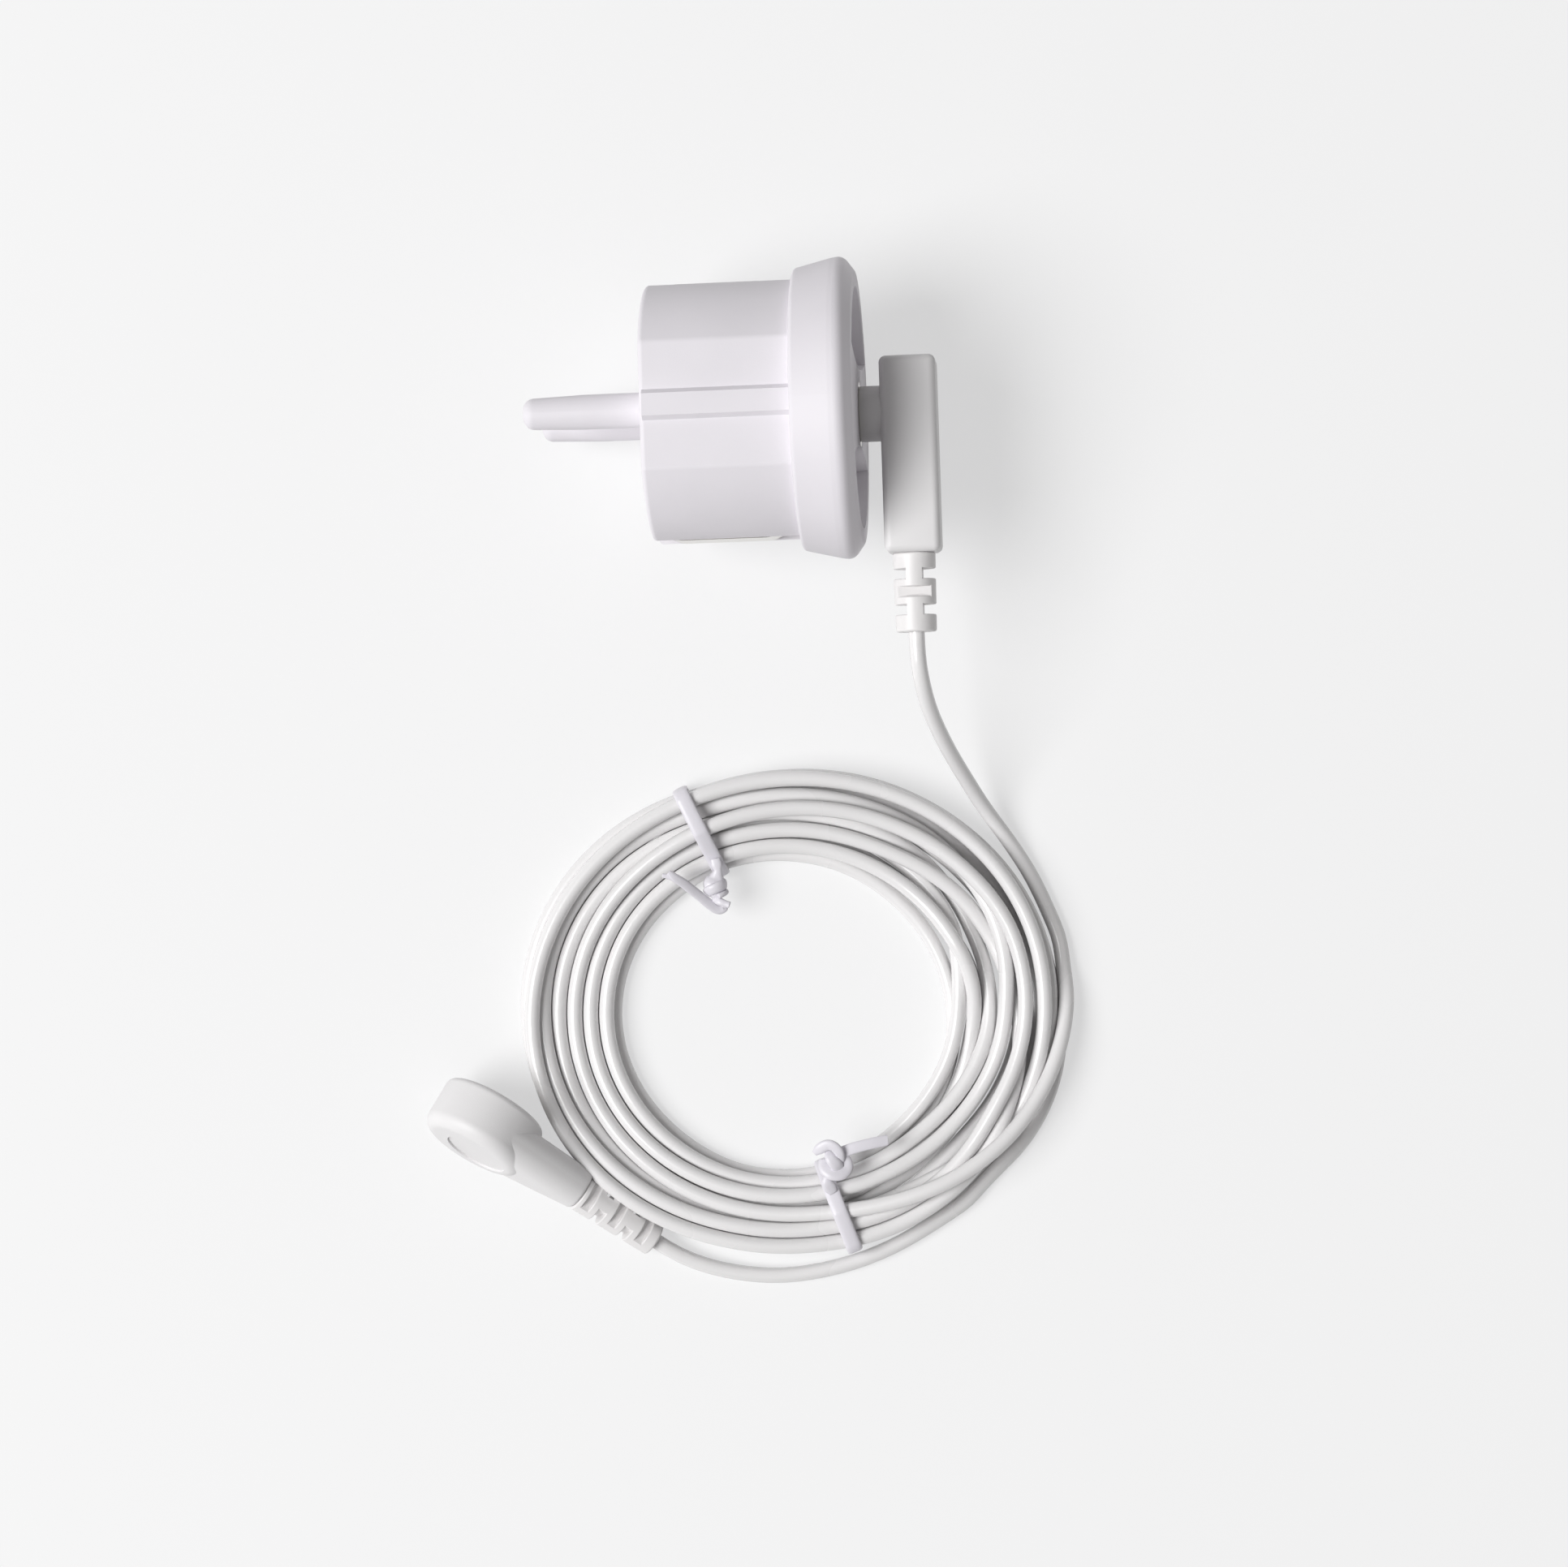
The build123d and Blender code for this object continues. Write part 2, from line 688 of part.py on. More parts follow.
snap_open = head_thickness / 2
snap_seat = snap_open - snap_pocket_depth
with BuildPart() as snap_housing:
    with BuildSketch(face_plane(-head_thickness / 2)):
        Circle(head_r)
    extrude(amount=head_thickness)
    rims = edges().filter_by(GeomType.CIRCLE).group_by(Axis(head_centre, face_dir))
    fillet(rims[0], radius=head_back_round)
    rims = edges().filter_by(GeomType.CIRCLE).group_by(Axis(head_centre, face_dir))
    fillet(rims[-1], radius=head_front_round)
    with BuildSketch(handle_plane(handle_root_place, handle_root_offset)):
        RectangleRounded(2 * handle_root_half_depth, 2 * handle_root_half_width, radius=handle_side_round)
    with BuildSketch(handle_plane(handle_length, handle_end_offset)):
        RectangleRounded(2 * handle_end_r, 2 * handle_end_r, radius=handle_side_round)
    loft()
    handle_end = faces().sort_by(Axis(head_centre, connector_dir))[-1]
    fillet(handle_end.edges(), radius=handle_end_round)
    with BuildSketch(face_plane(snap_seat)):
        Circle(snap_outer_r + snap_seat_gap)
    extrude(amount=snap_pocket_depth, mode=Mode.SUBTRACT)
    with BuildSketch(face_plane(snap_seat)):
        Circle(terminal_r + terminal_play)
        with Locations((terminal_tail_length / 2, 0)):
            Rectangle(terminal_tail_length, terminal_tail_width + 2 * terminal_play)
    extrude(amount=-terminal_thickness - terminal_play, mode=Mode.SUBTRACT)
    with BuildSketch(handle_plane(handle_length, snap_relief_offset)):
        Circle(wire_bore_r)
    extrude(amount=terminal_tail_length - wire_bore_overlap - handle_length, mode=Mode.SUBTRACT)
    with BuildSketch(face_plane(-head_thickness / 2)):
        with Locations((badge_shift, 0)):
            Circle(badge_r)
    extrude(amount=badge_depth, mode=Mode.SUBTRACT)

finish(snap_housing, "snap_housing")

with BuildPart() as snap_socket:
    with BuildSketch(face_plane(snap_seat)):
        Circle(snap_outer_r)
    extrude(amount=snap_height)
    with BuildSketch(face_plane(snap_seat + snap_floor)):
        Circle(snap_bore_r)
    extrude(amount=snap_height - snap_floor, mode=Mode.SUBTRACT)
    with BuildSketch(face_plane(snap_seat + snap_groove_height)):
        Circle(snap_groove_r)
    extrude(amount=snap_groove_width, mode=Mode.SUBTRACT)

finish(snap_socket, "snap_socket")

wire_ring_r = snap_groove_r - snap_wire_r - snap_wire_play
with BuildPart() as snap_spring:
    ring_middle = snap_seat + snap_groove_height + snap_groove_width / 2
    with BuildSketch(Plane(origin=head_centre + ring_middle * face_dir, x_dir=connector_dir,
                           z_dir=connector_dir.cross(face_dir))):
        with Locations((wire_ring_r, 0)):
            Circle(snap_wire_r)
    revolve(axis=Axis(head_centre, face_dir), revolution_arc=snap_wire_arc)

finish(snap_spring, "snap_spring")

with BuildPart() as snap_terminal:
    with BuildSketch(face_plane(snap_seat)):
        Circle(terminal_r)
        with Locations((terminal_tail_length / 2 - terminal_play, 0)):
            Rectangle(terminal_tail_length - 2 * terminal_play, terminal_tail_width)
    extrude(amount=-terminal_thickness)

finish(snap_terminal, "snap_terminal")

handle_end_centre = head_centre + handle_length * connector_dir + snap_relief_offset * face_dir * -1
snap_relief = slotted_relief(
    handle_end_centre, connector_dir, connector_dir.cross(face_dir), snap_relief_length, snap_relief_root_r,
    snap_relief_tip_r, snap_relief_first_slot - snap_relief_slot / 2, snap_relief_pitch, snap_relief_slot,
    snap_relief_slots, snap_pocket_floor, wire_bore_r - relief_plug_fit, snap_plug_length, True,
)
finish(snap_relief, "snap_relief")

# Cord, from the lead plug's relief to the coil, and from the coil to the snap's relief
lead_start = barrel_end + relief_length * across * -1
tail_end = handle_end_centre + snap_relief_length * connector_dir
lead_points = [
    lead_start,
    lead_start + lead_exit_run * across * -1,
    Vector(25.7, -38.8, 21.1),
    Vector(26.9, -43.5, 17.5),
    Vector(29.4, -48.7, 12.6),
    Vector(31.9, -52.8, 8.2),
    Vector(34.8, -57.5, 4.2),
    Vector(38.4, -62.8, 1.8),
    Vector(41.4, -68.1, 1.25),
    Vector(43.8, -73.6, 1.2),
]
tail_points = [
    Vector(30.7, -115.7, 1.2),
    Vector(25.8, -118.7, 1.2),
    Vector(20.3, -121.8, 1.2),
    Vector(14.6, -124.0, 1.2),
    Vector(8.5, -125.4, 1.2),
    Vector(2.5, -125.9, 1.2),
    Vector(-3.0, -125.3, 1.25),
    Vector(-7.8, -124.1, 1.5),
    tail_end + tail_exit_run * connector_dir,
    tail_end,
]


def bend_radii(points):
    """The largest arc at each corner that its two straight runs allow."""
    radii = []
    for before, corner, after in zip(points, points[1:], points[2:]):
        turn = (corner - before).get_angle(after - corner)
        shorter = min((corner - before).length, (after - corner).length)
        radii.append(0.45 * shorter / math.tan(math.radians(turn) / 2))
    return radii


def cord_tube(points, radius):
    """A tube along a route of straight runs and arcs, with square ends."""
    with BuildPart() as tube:
        with BuildLine() as route:
            FilletPolyline(*points, radius=bend_radii(points))
        with BuildSketch(Plane(origin=points[0], z_dir=points[1] - points[0])):
            Circle(radius)
        sweep()
    print("route", round(route.wire().length, 1), "volume ratio",
          round(tube.part.volume / (math.pi * radius**2 * route.wire().length), 4))
    return tube


for points in (lead_points, tail_points):
    print("bend radii", [round(radius, 1) for radius in bend_radii(points)])
cord_lead = cord_tube(lead_points, cord_r)
finish(cord_lead, "cord_lead")
cord_tail = cord_tube(tail_points, cord_r)
finish(cord_tail, "cord_tail")

# Ties: a loop round the bundle of turns, a twisted stub and a loose end
upper_tie_place = Vector(-6.2, -59.2, 0)
upper_tie_dir = Vector(4.7, -11.8, 0).normalized()
upper_tie_span = 14.4
lower_tie_place = Vector(12.0, -116.2, 0)
lower_tie_dir = Vector(-4.2, 11.3, 0).normalized()
lower_tie_span = 13.6
tie_height = coil_height + tie_headroom


def tie_plane(place, direction):
    """The upright plane of a tie's loop, across the bundle."""
    middle = place + Vector(0, 0, tie_height / 2)
    return Plane(origin=middle, x_dir=direction, z_dir=direction.cross(Vector(0, 0, 1)))


def tie_notch(place, direction, span):
    """The room that a tie's loop leaves free in the bundle."""
    with BuildPart(mode=Mode.PRIVATE) as notch:
        with BuildSketch(tie_plane(place, direction)):
            Rectangle(span + 2 * notch_margin, tie_height + 2 * notch_margin)
            inner = (span - 2 * tie_thickness - 2 * tie_gap, tie_height - 2 * tie_thickness - 2 * tie_gap)
            RectangleRounded(*inner, radius=notch_round, mode=Mode.SUBTRACT)
        extrude(amount=tie_width / 2 + tie_gap, both=True)
    return notch.part


lead_groove = cord_tube(lead_points, cord_r + groove_clearance)
tail_groove = cord_tube(tail_points, cord_r + groove_clearance)
with BuildPart() as cord_coil:
    with BuildSketch(Plane.XY):
        with Locations(coil_centre):
            Ellipse(*coil_outer_half)
        with Locations(coil_inner_centre):
            Ellipse(*coil_inner_half, mode=Mode.SUBTRACT)
    extrude(amount=coil_height)
    fillet(edges().group_by(Axis.Z)[-1], radius=coil_edge_round)
    fillet(edges().group_by(Axis.Z)[0], radius=coil_bottom_round)
    add(lead_groove.part, mode=Mode.SUBTRACT)
    add(tail_groove.part, mode=Mode.SUBTRACT)
    add(tie_notch(upper_tie_place, upper_tie_dir, upper_tie_span), mode=Mode.SUBTRACT)
    add(tie_notch(lower_tie_place, lower_tie_dir, lower_tie_span), mode=Mode.SUBTRACT)

finish(cord_coil, "cord_coil")


def tie(place, direction, span, twist_from, twist_to, tail_from, tail_to):
    with BuildPart() as strip:
        with BuildSketch(tie_plane(place, direction)):
            RectangleRounded(span, tie_height, radius=tie_outer_round)
            inner = (span - 2 * tie_thickness, tie_height - 2 * tie_thickness)
            RectangleRounded(*inner, radius=tie_inner_round, mode=Mode.SUBTRACT)
        extrude(amount=tie_width / 2, both=True)
        twist = twist_to - twist_from
        with BuildSketch(Plane(origin=twist_from, z_dir=twist)):
            Circle(tie_twist_r)
        extrude(amount=twist.length)
        loose = tail_to - tail_from
        with BuildSketch(Plane(origin=tail_from, z_dir=loose)):
            Circle(tie_tail_r)
        extrude(amount=loose.length)
    return strip


upper_tie = tie(
    upper_tie_place, upper_tie_dir, upper_tie_span,
    Vector(-3.6, -65.7, 5.5), Vector(-2.4, -70.6, 4.6), Vector(-2.7, -70.3, 5.4), Vector(-12.0, -65.9, 9.3),
)
finish(upper_tie, "upper_tie")
lower_tie = tie(
    lower_tie_place, lower_tie_dir, lower_tie_span,
    Vector(9.8, -110.2, 7.6), Vector(11.1, -106.6, 7.9), Vector(11.0, -107.4, 8.0), Vector(19.6, -105.9, 8.5),
)
finish(lower_tie, "lower_tie")
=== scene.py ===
"""Looks of the grounding plug adapter: camera, cord, ties, materials, floor and light. Metres, row frame."""

import math

import bmesh
import bpy
import numpy as np
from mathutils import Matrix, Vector


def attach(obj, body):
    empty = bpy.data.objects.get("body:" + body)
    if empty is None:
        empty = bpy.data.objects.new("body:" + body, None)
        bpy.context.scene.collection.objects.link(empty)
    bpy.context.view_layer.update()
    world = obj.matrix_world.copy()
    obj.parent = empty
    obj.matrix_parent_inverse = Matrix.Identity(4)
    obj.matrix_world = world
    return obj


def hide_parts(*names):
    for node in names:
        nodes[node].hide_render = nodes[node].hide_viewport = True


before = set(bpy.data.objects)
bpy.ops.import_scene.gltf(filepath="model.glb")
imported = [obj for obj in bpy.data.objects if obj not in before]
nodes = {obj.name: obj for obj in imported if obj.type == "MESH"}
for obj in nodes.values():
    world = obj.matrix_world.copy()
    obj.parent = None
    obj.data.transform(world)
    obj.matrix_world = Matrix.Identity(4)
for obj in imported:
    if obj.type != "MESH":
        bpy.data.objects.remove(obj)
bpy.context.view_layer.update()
scene = bpy.context.scene
MM = 0.001

# Camera, straight above the table, turned a little against the plug's axis
SENSOR = 36.0
FOCAL_PIXELS = 4673.5
PHOTO_WIDTH = 1932
CAMERA_TURN = math.radians(-1.889)
CAMERA_PLACE = Vector((5.69, -53.145, 561.8)) * MM

camera_data = bpy.data.cameras.new("camera")
camera_data.sensor_width = SENSOR
camera_data.lens = SENSOR * FOCAL_PIXELS / PHOTO_WIDTH
camera_data.clip_start = 0.05
camera_data.clip_end = 20
camera = bpy.data.objects.new("camera", camera_data)
camera.location = CAMERA_PLACE
camera.rotation_euler = (0, 0, CAMERA_TURN)
scene.collection.objects.link(camera)
scene.camera = camera

# Cord
CORD_R = 1.15
LEAD_POINTS = [
    (25.27, -32.22, 22.11),
    (25.27, -35.22, 22.11),
    (25.7, -38.8, 21.1),
    (26.9, -43.5, 17.5),
    (29.4, -48.7, 12.6),
    (31.9, -52.8, 8.2),
    (34.8, -57.5, 4.2),
    (38.6, -62.7, 1.8),
    (41.8, -67.9, 1.25),
    (44.2, -73.5, 1.2),
]
TAIL_POINTS = [
    (30.7, -115.7, 1.2),
    (25.8, -118.7, 1.2),
    (20.3, -121.8, 1.2),
    (14.6, -124.0, 1.2),
    (8.5, -125.4, 1.2),
    (2.5, -125.9, 1.2),
    (-3.0, -125.3, 1.25),
    (-7.8, -124.1, 1.5),
    (-12.46, -122.09, 1.89),
    (-15.53, -119.85, 2.65),
]

# The coil's bundle: a mid line round an ellipse, and its two edges, wider apart where nothing ties it
COIL_CENTRE = (5.6, -87.0)
COIL_HALF = (31.7, 29.1)
COIL_START = 14.0
COIL_END = -46.0
WHOLE_TURNS = 13
STEP = 6.0
COLUMNS = int(360 / STEP)
LOOSE_SPREAD = 55.0
LOOSE_WIDER = 0.4
LEFT_ANGLE = 185.0
LEFT_SPREAD = 45.0
EDGE_ANGLE = [0, 24, 48, 72, 96, 112, 132, 156, 180, 204, 228, 252, 276, 300, 324, 348, 360]
INNER_EDGE = [
    -9.3, -9.3, -8.5, -7.3, -6.4, -6.1, -6.6, -6.8, -6.7,
    -6.7, -6.5, -5.7, -6.0, -7.6, -8.5, -9.1, -9.3,
]
OUTER_EDGE = [
    8.2, 8.0, 7.6, 7.3, 6.7, 6.5, 8.6, 8.9, 8.0,
    7.6, 7.0, 6.2, 5.9, 6.6, 7.4, 7.9, 8.2,
]
EDGE_SLACK = 0.1
CORD_GAP = 2.36
TABLE_GAP = 0.02
TIE_THICKNESS = 0.75
TIE_REACH = 7.0
UPPER_TIE_ANGLE = 112.7
LOWER_TIE_ANGLE = -79.0

# Each turn's lane across the bundle and its layer, from the turn on top to the one that leaves
TURN_LANES = [0.1, 0.1, 0.55, -0.35, 0.9, 0.3, -0.7, -0.15, -1.0, -0.5, 0.0, 0.5, 0.95, 1.1]
TURN_LAYERS = [3.3, 3.3, 3.1, 3.0, 2.3, 2.2, 2.1, 1.9, 1.4, 1.0, 1.0, 1.0, 1.0, 1.0]
LAYER_RISE = 2.0
CHANGE_SPAN = 200.0

# How unevenly the turns lie, and the gap that opens between them on the loose side
NOISE_SEED = 23
OFFSET_NOISE = 0.5
OFFSET_NOISE_SPACING = 11.0
LOOSE_NOISE = 1.0
LEFT_NOISE = 1.2
HEIGHT_NOISE = 0.3
HEIGHT_NOISE_SPACING = 9.0
GAP_OFFSET = -1.2
GAP_PUSH = 0.9

# Settling: what each sweep does to pull turns to their lanes, let them sink, part them and even them out
SWEEPS = 1100
SETTLED = 950
PULL = 0.02
SINK = 0.02
PUSH = 0.3
SOFT_EVENING = 0.2
LAST_EVENING = 0.04
SPREAD = np.array([0.1, 0.2, 0.4, 0.2, 0.1]) * 1.6

# The first stretch comes in on the table outside the others and climbs over them.
# Its climb is set by the angle wound, which counts the other way from the angle round the coil.
OVER_ANGLE = [14.0, 12.8, 3.6, -5.8, -12.9, -20.2, -28.1, -36.4, -46.6, -59.2, -78.0, -100.0]
OVER_OFFSET = [9.65, 9.5, 8.8, 7.85, 6.6, 5.4, 4.45, 3.75, 3.05, 2.3, 1.3, 0.7]
CLIMB_ANGLE = [-14.0, 0.0, 14.0, 34.0, 100.0]
CLIMB_HEIGHT = [1.2, 2.0, 5.8, 7.2, 7.2]
OUTER_LIMIT = 9.65
OVER_END = -100.0
LAST_SPAN = 60.0
LAST_OFFSET = 7.5


def bundle_point(angle, offset, height):
    """A place in the bundle, from its angle round the coil, offset across the bundle and height."""
    a = math.radians(angle)
    out = Vector((math.cos(a) / COIL_HALF[0], math.sin(a) / COIL_HALF[1])).normalized()
    x = COIL_CENTRE[0] + COIL_HALF[0] * math.cos(a) + out.x * offset
    y = COIL_CENTRE[1] + COIL_HALF[1] * math.sin(a) + out.y * offset
    return (x, y, height)


def angle_from(angles, centre):
    """How far each angle lies from a place on the coil, in degrees."""
    return np.abs((angles - centre + 180.0) % 360.0 - 180.0)


def smooth_noise(count, spacing, rng):
    """Uneven values between -1 and 1 that change slowly along the cord."""
    knots = rng.uniform(-1, 1, int(count / spacing) + 3)
    place = np.arange(count) / spacing
    low = place.astype(int)
    part = place - low
    part = part * part * (3 - 2 * part)
    return knots[low] * (1 - part) + knots[low + 1] * part


def ease(part):
    """A smooth change from 0 to 1."""
    part = np.clip(part, 0, 1)
    return part * part * (3 - 2 * part)


def wind_coil():
    """Lays the turns beside and on each other: angle, offset and height of each point of the coil."""
    rng = np.random.default_rng(NOISE_SEED)
    count = int(round((COIL_START - COIL_END + 360.0 * WHOLE_TURNS) / STEP)) + 1
    angles = COIL_START - STEP * np.arange(count)
    lanes = np.array(TURN_LANES + TURN_LANES[-1:])
    layers = np.array(TURN_LAYERS + TURN_LAYERS[-1:])
    turn = (CHANGE_SPAN / 2 - angles) / 360.0
    whole = np.floor(turn).astype(int).clip(0, len(lanes) - 2)
    part = ease((turn - whole) * 360.0 / CHANGE_SPAN)
    lane = lanes[whole] * (1 - part) + lanes[whole + 1] * part
    layer = layers[whole] * (1 - part) + layers[whole + 1] * part
    loose = np.exp(-((angle_from(angles, 0.0) / LOOSE_SPREAD) ** 2))
    left = np.exp(-((angle_from(angles, LEFT_ANGLE) / LEFT_SPREAD) ** 2))
    round_angle = angles % 360.0
    inner_edge = np.interp(round_angle, EDGE_ANGLE, INNER_EDGE)
    outer_edge = np.interp(round_angle, EDGE_ANGLE, OUTER_EDGE)
    middle = (outer_edge + inner_edge) / 2
    half = (outer_edge - inner_edge) / 2 - CORD_R
    target = middle + lane * half * (1 + LOOSE_WIDER * loose)
    uneven = OFFSET_NOISE + LOOSE_NOISE * loose + LEFT_NOISE * left
    target += smooth_noise(count, OFFSET_NOISE_SPACING, rng) * uneven
    target += GAP_PUSH * loose * np.tanh(target - GAP_OFFSET)
    bumpy = HEIGHT_NOISE * smooth_noise(count, HEIGHT_NOISE_SPACING, rng)
    height = CORD_R + (layer - 1) * LAYER_RISE + bumpy
    first = angles > OVER_END
    target[first] = np.interp(-angles[first], [-a for a in OVER_ANGLE], OVER_OFFSET)
    height[first] = np.interp(-angles[first], CLIMB_ANGLE, CLIMB_HEIGHT)
    last = ease((angles[-1] + LAST_SPAN - angles) / LAST_SPAN)
    target = target * (1 - last) + LAST_OFFSET * last
    height = height * (1 - last) + CORD_R * last
    floor = np.full(count, CORD_R + TABLE_GAP)
    for place in (UPPER_TIE_ANGLE, LOWER_TIE_ANGLE):
        floor += TIE_THICKNESS * np.exp(-((angle_from(angles, place) / TIE_REACH) ** 2))
    inner = middle - half - EDGE_SLACK
    outer = np.where(first | (last > 0), OUTER_LIMIT, middle + half + EDGE_SLACK)
    pinned = np.r_[0:2, count - 2:count]
    offset = target.copy()
    start = np.array([offset[pinned], height[pinned]])
    for sweep in range(SWEEPS):
        settling = sweep < SETTLED
        if settling:
            offset += PULL * (target - offset)
            height -= SINK
        moves = np.zeros((2, count))
        for lap in range(1, WHOLE_TURNS + 1):
            near = lap * COLUMNS
            across = offset[near:] - offset[:-near]
            up = height[near:] - height[:-near]
            reach = np.hypot(across, up) + 1e-6
            push = np.clip(CORD_GAP - reach, 0, None) * PUSH / reach
            moves[0, near:] += push * across
            moves[0, :-near] -= push * across
            moves[1, near:] += push * up
            moves[1, :-near] -= push * up
        if settling:
            moves = np.array([np.convolve(line, SPREAD, "same") for line in moves])
        offset += moves[0]
        height += moves[1]
        stiffness = SOFT_EVENING if settling else LAST_EVENING
        for line in (offset, height):
            line[1:-1] += stiffness * (line[2:] + line[:-2] - 2 * line[1:-1])
        np.clip(offset, inner, outer, out=offset)
        np.maximum(height, floor, out=height)
        offset[pinned], height[pinned] = start
    return angles, offset, height


def cord_curve(name, points, radius):
    """A cord of a given thickness along its control points."""
    data = bpy.data.curves.new(name, "CURVE")
    data.dimensions = "3D"
    data.bevel_depth = 1.0
    data.bevel_resolution = 3
    data.resolution_u = 3
    data.use_fill_caps = True
    spline = data.splines.new("NURBS")
    spline.points.add(len(points) - 1)
    for target, place in zip(spline.points, points):
        target.co = (place[0] * MM, place[1] * MM, place[2] * MM, 1)
        target.radius = radius * MM
    spline.order_u = 3
    spline.use_endpoint_u = True
    obj = bpy.data.objects.new(name, data)
    scene.collection.objects.link(obj)
    return obj


coil_angles, coil_offsets, coil_heights = wind_coil()
coil_points = [bundle_point(a, s, z) for a, s, z in zip(coil_angles, coil_offsets, coil_heights)]
cord = cord_curve("ground_cord", LEAD_POINTS + coil_points + TAIL_POINTS, CORD_R)


def curve_length(obj):
    """The length of a curve's centreline."""
    data = obj.data.copy()
    data.bevel_depth = 0
    bare = bpy.data.objects.new("bare_line", data)
    mesh = bpy.data.meshes.new_from_object(bare)
    ends = [[mesh.vertices[k].co for k in edge.vertices] for edge in mesh.edges]
    length = sum((one - two).length for one, two in ends)
    bpy.data.objects.remove(bare)
    bpy.data.meshes.remove(mesh)
    return length


# Ties: a soft strip drawn round the bundle, knotted at its inner side
STRIP_SIDES = 12
STRIP_HALF_WIDTH = 1.15
STRIP_HALF_THICKNESS = 0.36
STRIP_GAP = 0.05
STRIP_ROUND_WIDE = 0.7
STRIP_ROUND_THIN = 0.8
KNOT_HALF_THICKNESS = 0.42
LOOP_STEP = 8
UPPER_TIE_SLANT = -0.07
LOWER_TIE_SLANT = -0.17


def section(angle):
    """Where the turns cross a cut through the bundle, as offset and height."""
    laps = [angle - 360.0 * lap for lap in range(WHOLE_TURNS + 2)]
    laps = [a for a in laps if coil_angles[-1] <= a <= coil_angles[0]]
    rows = (coil_offsets, coil_heights)
    return [[np.interp(-a, -coil_angles, row) for row in rows] for a in laps]


def loop_rings(angle, slant):
    """Rings of a strip drawn tight round the bundle, slanting along it by a length per offset."""
    centres = section(angle)
    margin = CORD_R + STRIP_HALF_THICKNESS + STRIP_GAP
    lowest = STRIP_HALF_THICKNESS + STRIP_GAP
    a = math.radians(angle)
    normal = Vector((math.cos(a) / COIL_HALF[0], math.sin(a) / COIL_HALF[1], 0)).normalized()
    tangent = Vector((-normal.y, normal.x, 0))
    side = (tangent + normal * slant).normalized()
    rings = []
    for step in range(0, 360, LOOP_STEP):
        turn = math.radians(step)
        c, s = math.cos(turn), math.sin(turn)
        best = max(centres, key=lambda place: place[0] * c + place[1] * s)
        offset = best[0] + margin * c
        place = Vector(bundle_point(angle, offset, max(best[1] + margin * s, lowest)))
        place += tangent * slant * -offset
        out = normal * c + Vector((0, 0, s))
        rings.append((place, side, out, STRIP_HALF_WIDTH, STRIP_HALF_THICKNESS))
    return rings


def smooth_rows(rows, steps=6):
    """Rows of values along a smooth curve through the given rows."""
    p = np.array([rows[0]] + list(rows) + [rows[-1]], float)
    out = []
    for a, b, c, d in zip(p, p[1:], p[2:], p[3:]):
        square = 2 * a - 5 * b + 4 * c - d
        cube = 3 * b - a - 3 * c + d
        for t in np.arange(steps) / steps:
            out.append(0.5 * (2 * b + (c - a) * t + square * t * t + cube * t**3))
    return out + [p[-2]]


def path_rings(rows, out=Vector((0, 0, 1))):
    """Rings of a strip along given rows of place, half width and half thickness."""
    rows = smooth_rows(rows)
    places = [Vector(row[:3]) for row in rows]
    rings = []
    for k, place in enumerate(places):
        along = (places[min(k + 1, len(places) - 1)] - places[max(k - 1, 0)]).normalized()
        out = (out - along * out.dot(along)).normalized()
        rings.append((place, along.cross(out), out, rows[k][3], rows[k][4]))
    return rings


def coil_rows(start, axis, radii, turns, half_width, steps=14):
    """Rows of a strip wound round an axis, closing in as it goes along."""
    side = axis.orthogonal().normalized()
    up = axis.normalized().cross(side)
    rows = []
    count = int(turns * steps)
    for k in range(count + 1):
        part = k / count
        turn = 2 * math.pi * turns * part
        radius = radii[0] * (1 - part) + radii[1] * part
        place = start + axis * part + (side * math.cos(turn) + up * math.sin(turn)) * radius
        rows.append((*place, half_width, KNOT_HALF_THICKNESS))
    return rows


def join_loops(build, loops, closed=False):
    """Joins loops of vertices by faces, as an endless band or with both ends capped."""
    following = loops[1:] + loops[:1] if closed else loops[1:]
    for one, two in zip(loops, following):
        for k in range(len(one)):
            n = (k + 1) % len(one)
            build.faces.new((one[k], one[n], two[n], two[k]))
    if not closed:
        build.faces.new(loops[0])
        build.faces.new(loops[-1])


def add_strip(build, rings, closed=False):
    """Adds a soft strip with rounded edges through its rings."""
    loops = []
    for place, side, out, half_width, half_thickness in rings:
        loop = []
        for k in range(STRIP_SIDES):
            turn = 2 * math.pi * (k + 0.5) / STRIP_SIDES
            c, s = math.cos(turn), math.sin(turn)
            u = math.copysign(abs(c) ** STRIP_ROUND_WIDE, c) * half_width
            v = math.copysign(abs(s) ** STRIP_ROUND_THIN, s) * half_thickness
            loop.append(build.verts.new((place + side * u + out * v) * MM))
        loops.append(loop)
    join_loops(build, loops, closed)


def finish_piece(build, name, node, flat_ends=False):
    """Turns a built mesh into a smooth piece that stands for a node."""
    bmesh.ops.recalc_face_normals(build, faces=build.faces)
    for face in build.faces:
        face.smooth = not flat_ends or len(face.verts) == 4
    data = bpy.data.meshes.new(name)
    build.to_mesh(data)
    build.free()
    piece = bpy.data.objects.new(name, data)
    scene.collection.objects.link(piece)
    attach(piece, "root")
    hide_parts(node)
    return piece


def tie_piece(name, node, loop, strips):
    """A tie: its loop round the bundle, and the strips of its knot and ends."""
    build = bmesh.new()
    add_strip(build, loop, closed=True)
    for rings in strips:
        add_strip(build, rings)
    return finish_piece(build, name, node)


